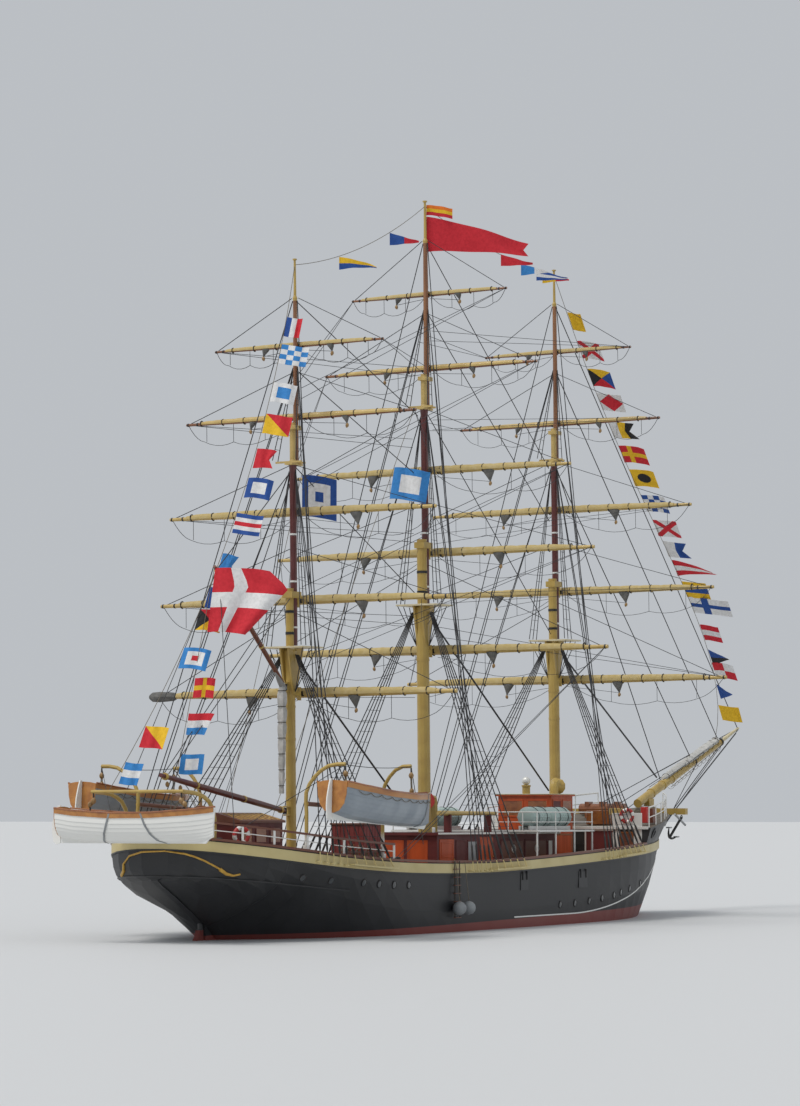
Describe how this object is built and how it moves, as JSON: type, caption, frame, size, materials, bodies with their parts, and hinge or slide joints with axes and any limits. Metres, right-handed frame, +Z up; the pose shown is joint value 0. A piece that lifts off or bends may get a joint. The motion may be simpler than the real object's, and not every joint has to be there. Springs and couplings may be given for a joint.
{
  "type": "half-size scale model of a three-masted full-rigged sailing ship",
  "caption": "Three-masted square-rigged ship with a black hull, round counter stern, furled sails, bowsprit, deckhouses, and boats on davits at the quarters and the stern.",
  "frame": {"origin": "on the centreline at the waterline, amidships, where the water holds the ship up", "axes": "+X towards the bow, +Y to port, +Z up"},
  "size_m": [27.466, 7.66, 16.452],
  "materials": {
    "black_hull": "satin black paint",
    "deck_planks": "scrubbed planking",
    "varnished_wood": "varnish",
    "dark_wood": "satin",
    "white_paint": "satin white paint",
    "buff_paint": "satin buff paint",
    "redbrown_paint": "satin red-brown paint",
    "wire": "tarred wire",
    "antifouling": "matt red paint",
    "bronze": "cast",
    "boat_white": "painted clinker planks"
  },
  "bodies": {
    "ship": {"hull": "black_hull", "main_deck": "deck_planks", "quarterdeck": "deck_planks", "forecastle": "black_hull", "cap_rail": "dark_wood", "quarterdeck_rail": "white_paint", "midship_deckhouse": "redbrown_paint", "raft_deck": "dark_wood", "fore_house": "varnished_wood", "aft_house": "varnished_wood", "steering_gear": "white_paint", "windlass": "wire", "mizzen_lower_mast": "buff_paint", "mizzen_topmast": "redbrown_paint", "mizzen_topgallant_mast": "varnished_wood", "mizzen_shrouds_starboard": "wire", "mizzen_shrouds_port": "wire", "main_lower_mast": "buff_paint", "main_topmast": "redbrown_paint", "main_topgallant_mast": "varnished_wood", "main_shrouds_starboard": "wire", "main_shrouds_port": "wire", "fore_lower_mast": "buff_paint", "fore_topmast": "redbrown_paint", "fore_topgallant_mast": "varnished_wood", "fore_shrouds_starboard": "wire", "fore_shrouds_port": "wire", "bowsprit": "white_paint", "fore_stay": "wire", "main_stay": "wire", "mizzen_stay": "wire", "starboard_boat": "boat_white", "port_boat": "boat_white", "stern_boat": "boat_white", "starboard_davits": "buff_paint", "port_davits": "buff_paint", "stern_davits": "buff_paint"},
    "mizzen_course_yard": {"mizzen_course_yard": "buff_paint"},
    "mizzen_lower_topsail_yard": {"mizzen_lower_topsail_yard": "buff_paint"},
    "mizzen_upper_topsail_yard": {"mizzen_upper_topsail_yard": "buff_paint"},
    "mizzen_topgallant_yard": {"mizzen_topgallant_yard": "varnished_wood"},
    "mizzen_royal_yard": {"mizzen_royal_yard": "varnished_wood"},
    "main_course_yard": {"main_course_yard": "buff_paint"},
    "main_lower_topsail_yard": {"main_lower_topsail_yard": "buff_paint"},
    "main_upper_topsail_yard": {"main_upper_topsail_yard": "buff_paint"},
    "main_topgallant_yard": {"main_topgallant_yard": "varnished_wood"},
    "main_royal_yard": {"main_royal_yard": "varnished_wood"},
    "fore_course_yard": {"fore_course_yard": "buff_paint"},
    "fore_lower_topsail_yard": {"fore_lower_topsail_yard": "buff_paint"},
    "fore_upper_topsail_yard": {"fore_upper_topsail_yard": "buff_paint"},
    "fore_topgallant_yard": {"fore_topgallant_yard": "varnished_wood"},
    "fore_royal_yard": {"fore_royal_yard": "varnished_wood"},
    "spanker_boom": {"spanker_boom": "redbrown_paint"},
    "spanker_gaff": {"spanker_gaff": "redbrown_paint"},
    "rudder": {"rudder": "antifouling"},
    "steering_wheel": {"steering_wheel": "varnished_wood"},
    "propeller": {"propeller": "bronze"},
    "deckhouse_door_aft": {"deckhouse_door_aft": "varnished_wood"},
    "deckhouse_door_fore": {"deckhouse_door_fore": "varnished_wood"}
  },
  "joints": [
    {"name": "mizzen_course_brace", "type": "hinge", "parent": "ship", "child": "mizzen_course_yard", "pos_m": [-5.74855, 0, 4.42992], "axis": [-0.02, 0, 0.9998], "range_deg": [-30, 30]},
    {"name": "mizzen_lower_topsail_brace", "type": "hinge", "parent": "ship", "child": "mizzen_lower_topsail_yard", "pos_m": [-5.82294, 0, 6.14877], "axis": [-0.02, 0, 0.9998], "range_deg": [-32, 32]},
    {"name": "mizzen_upper_topsail_brace", "type": "hinge", "parent": "ship", "child": "mizzen_upper_topsail_yard", "pos_m": [-5.98581, 0, 7.79084], "axis": [-0.02, 0, 0.9998], "range_deg": [-34, 34]},
    {"name": "mizzen_topgallant_brace", "type": "hinge", "parent": "ship", "child": "mizzen_topgallant_yard", "pos_m": [-5.89653, 0, 9.57798], "axis": [-0.02, 0, 0.9998], "range_deg": [-36, 36]},
    {"name": "mizzen_royal_brace", "type": "hinge", "parent": "ship", "child": "mizzen_royal_yard", "pos_m": [-5.92353, 0, 10.92771], "axis": [-0.02, 0, 0.9998], "range_deg": [-38, 38]},
    {"name": "main_course_brace", "type": "hinge", "parent": "ship", "child": "main_course_yard", "pos_m": [-0.49935, 0, 5.46971], "axis": [-0.02, 0, 0.9998], "range_deg": [-30, 30]},
    {"name": "main_lower_topsail_brace", "type": "hinge", "parent": "ship", "child": "main_lower_topsail_yard", "pos_m": [-0.57854, 0, 7.42851], "axis": [-0.02, 0, 0.9998], "range_deg": [-32, 32]},
    {"name": "main_upper_topsail_brace", "type": "hinge", "parent": "ship", "child": "main_upper_topsail_yard", "pos_m": [-0.74171, 0, 9.08558], "axis": [-0.02, 0, 0.9998], "range_deg": [-34, 34]},
    {"name": "main_topgallant_brace", "type": "hinge", "parent": "ship", "child": "main_topgallant_yard", "pos_m": [-0.65823, 0, 11.16267], "axis": [-0.02, 0, 0.9998], "range_deg": [-36, 36]},
    {"name": "main_royal_brace", "type": "hinge", "parent": "ship", "child": "main_royal_yard", "pos_m": [-0.68843, 0, 12.67237], "axis": [-0.02, 0, 0.9998], "range_deg": [-38, 38]},
    {"name": "fore_course_brace", "type": "hinge", "parent": "ship", "child": "fore_course_yard", "pos_m": [5.58275, 0, 5.11478], "axis": [-0.02, 0, 0.9998], "range_deg": [-30, 30]},
    {"name": "fore_lower_topsail_brace", "type": "hinge", "parent": "ship", "child": "fore_lower_topsail_yard", "pos_m": [5.50426, 0, 7.03859], "axis": [-0.02, 0, 0.9998], "range_deg": [-32, 32]},
    {"name": "fore_upper_topsail_brace", "type": "hinge", "parent": "ship", "child": "fore_upper_topsail_yard", "pos_m": [5.33859, 0, 8.82064], "axis": [-0.02, 0, 0.9998], "range_deg": [-34, 34]},
    {"name": "fore_topgallant_brace", "type": "hinge", "parent": "ship", "child": "fore_topgallant_yard", "pos_m": [5.42547, 0, 10.72776], "axis": [-0.02, 0, 0.9998], "range_deg": [-36, 36]},
    {"name": "fore_royal_brace", "type": "hinge", "parent": "ship", "child": "fore_royal_yard", "pos_m": [5.39387, 0, 12.30744], "axis": [-0.02, 0, 0.9998], "range_deg": [-38, 38]},
    {"name": "boom_swing", "type": "hinge", "parent": "ship", "child": "spanker_boom", "pos_m": [-6.25, 0, 2.26], "axis": [0, 0, -1], "range_deg": [-30, 30]},
    {"name": "gaff_swing", "type": "hinge", "parent": "ship", "child": "spanker_gaff", "pos_m": [-6.25, 0, 4.525], "axis": [0, 0, -1], "range_deg": [-30, 30]},
    {"name": "rudder_turn", "type": "hinge", "parent": "ship", "child": "rudder", "pos_m": [-9.165, 0, 0], "axis": [0, 0, 1], "range_deg": [-35, 35]},
    {"name": "steering_wheel_turn", "type": "hinge", "parent": "ship", "child": "steering_wheel", "pos_m": [-9.175, 0, 2.05], "axis": [1, 0, 0], "range_deg": [-630, 630]},
    {"name": "propeller_spin", "type": "hinge", "parent": "ship", "child": "propeller", "pos_m": [-8.725, 0, -0.95], "axis": [1, 0, 0], "continuous": true},
    {"name": "door_aft_hinge", "type": "hinge", "parent": "ship", "child": "deckhouse_door_aft", "pos_m": [-1.943, -0.96, 1.3], "axis": [0, 0, -1], "range_deg": [0, 110]},
    {"name": "door_fore_hinge", "type": "hinge", "parent": "ship", "child": "deckhouse_door_fore", "pos_m": [-0.233, -0.96, 1.3], "axis": [0, 0, -1], "range_deg": [0, 110]}
  ],
  "couplings": [
    {"joint": "steering_wheel_turn", "follows": "rudder_turn", "ratio": 18}
  ]
}
